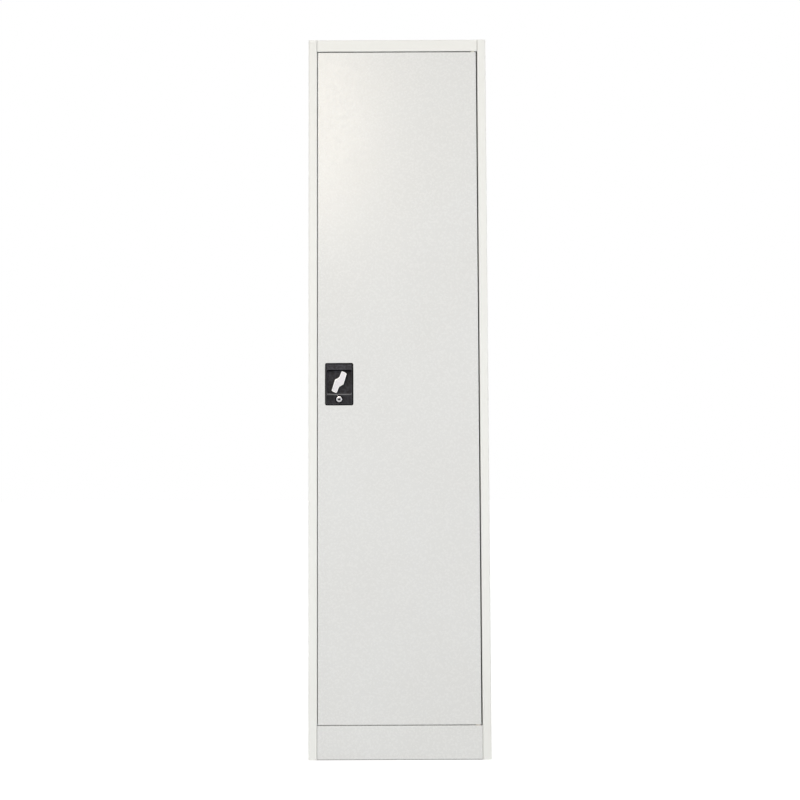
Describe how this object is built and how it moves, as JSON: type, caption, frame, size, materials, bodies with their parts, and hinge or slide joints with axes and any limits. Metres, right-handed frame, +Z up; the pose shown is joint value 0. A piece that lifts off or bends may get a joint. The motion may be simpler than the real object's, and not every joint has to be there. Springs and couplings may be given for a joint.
{
  "type": "metal cabinet",
  "caption": "Tall, narrow sheet-steel cupboard with a flush hinged door, a recessed turn lever that works a latch and long lock bars, a key cylinder and adjustable shelves.",
  "frame": {"origin": "centre of the whole object's footprint, lever included, on the floor", "axes": "+Z up, the door faces -Y, +X to the right as seen from in front"},
  "size_m": [0.457, 0.4602, 1.83],
  "materials": {
    "painted_steel": "light warm grey powder coat, fine texture",
    "zinc_plated_steel": "clear zinc plate on cold-rolled steel",
    "satin_zinc_casting": "satin bright nickel on a zinc casting",
    "plated_lock_metal": "bright nickel plate",
    "black_plastic": "moulded, fine matt grain",
    "white_nylon": "natural nylon",
    "black_rubber": "matt"
  },
  "bodies": {
    "cabinet": {"left_side_panel": "painted_steel", "right_side_panel": "painted_steel", "left_stile": "painted_steel", "right_stile": "painted_steel", "back_panel": "painted_steel", "top_panel": "painted_steel", "floor_panel": "painted_steel", "plinth": "painted_steel", "front_left_upright": "painted_steel", "front_right_upright": "painted_steel", "rear_left_upright": "painted_steel", "rear_right_upright": "painted_steel", "shelf_1": "painted_steel", "shelf_2": "painted_steel", "shelf_3": "painted_steel", "shelf_4": "painted_steel", "shelf_clips": "zinc_plated_steel", "top_pivot_plate": "zinc_plated_steel", "bottom_pivot_plate": "zinc_plated_steel", "top_hinge_pin": "zinc_plated_steel", "bottom_hinge_pin": "zinc_plated_steel", "top_hinge_washer": "white_nylon", "bottom_hinge_washer": "white_nylon", "door_buffers": "black_rubber"},
    "door": {"door_shell": "painted_steel", "door_stiffener": "painted_steel", "door_top_bearing": "zinc_plated_steel", "door_bottom_bearing": "zinc_plated_steel", "bar_guides": "black_plastic", "handle_plate": "black_plastic", "handle_bracket": "zinc_plated_steel", "bracket_screw": "zinc_plated_steel", "lock_barrel": "plated_lock_metal", "barrel_nut": "zinc_plated_steel"},
    "lever": {"turn_lever": "satin_zinc_casting", "lever_spindle": "zinc_plated_steel", "cam_disc": "zinc_plated_steel", "cam_pins": "zinc_plated_steel", "latch_spacer": "zinc_plated_steel", "latch_pawl": "zinc_plated_steel", "spindle_washer": "zinc_plated_steel", "spindle_nut": "zinc_plated_steel"},
    "upper_bar": {"upper_lock_bar": "zinc_plated_steel"},
    "lower_bar": {"lower_lock_bar": "zinc_plated_steel"},
    "key_plug": {"key_plug": "plated_lock_metal", "lock_cam": "zinc_plated_steel", "cam_screw": "zinc_plated_steel"}
  },
  "joints": [
    {"name": "door_swing", "type": "hinge", "parent": "cabinet", "child": "door", "pos_m": [0.1955, -0.2204, 0.9], "axis": [0, 0, 1], "range_deg": [0, 110]},
    {"name": "lever_turn", "type": "hinge", "parent": "door", "child": "lever", "pos_m": [-0.1504, -0.2269, 0.9435], "axis": [0, 1, 0], "range_deg": [0, 73]},
    {"name": "upper_bar_slide", "type": "slide", "parent": "door", "child": "upper_bar", "axis": [0, 0, 1], "range_m": [0, 0.01665]},
    {"name": "lower_bar_slide", "type": "slide", "parent": "door", "child": "lower_bar", "axis": [0, 0, -1], "range_m": [0, 0.01666]},
    {"name": "key_turn", "type": "hinge", "parent": "door", "child": "key_plug", "pos_m": [-0.1504, -0.2269, 0.9], "axis": [0, -1, 0], "range_deg": [0, 90]}
  ],
  "couplings": [
    {"joint": "lever_turn", "follows": "upper_bar_slide", "rad_per_m": 76.5},
    {"joint": "lower_bar_slide", "follows": "upper_bar_slide", "ratio": 1}
  ]
}
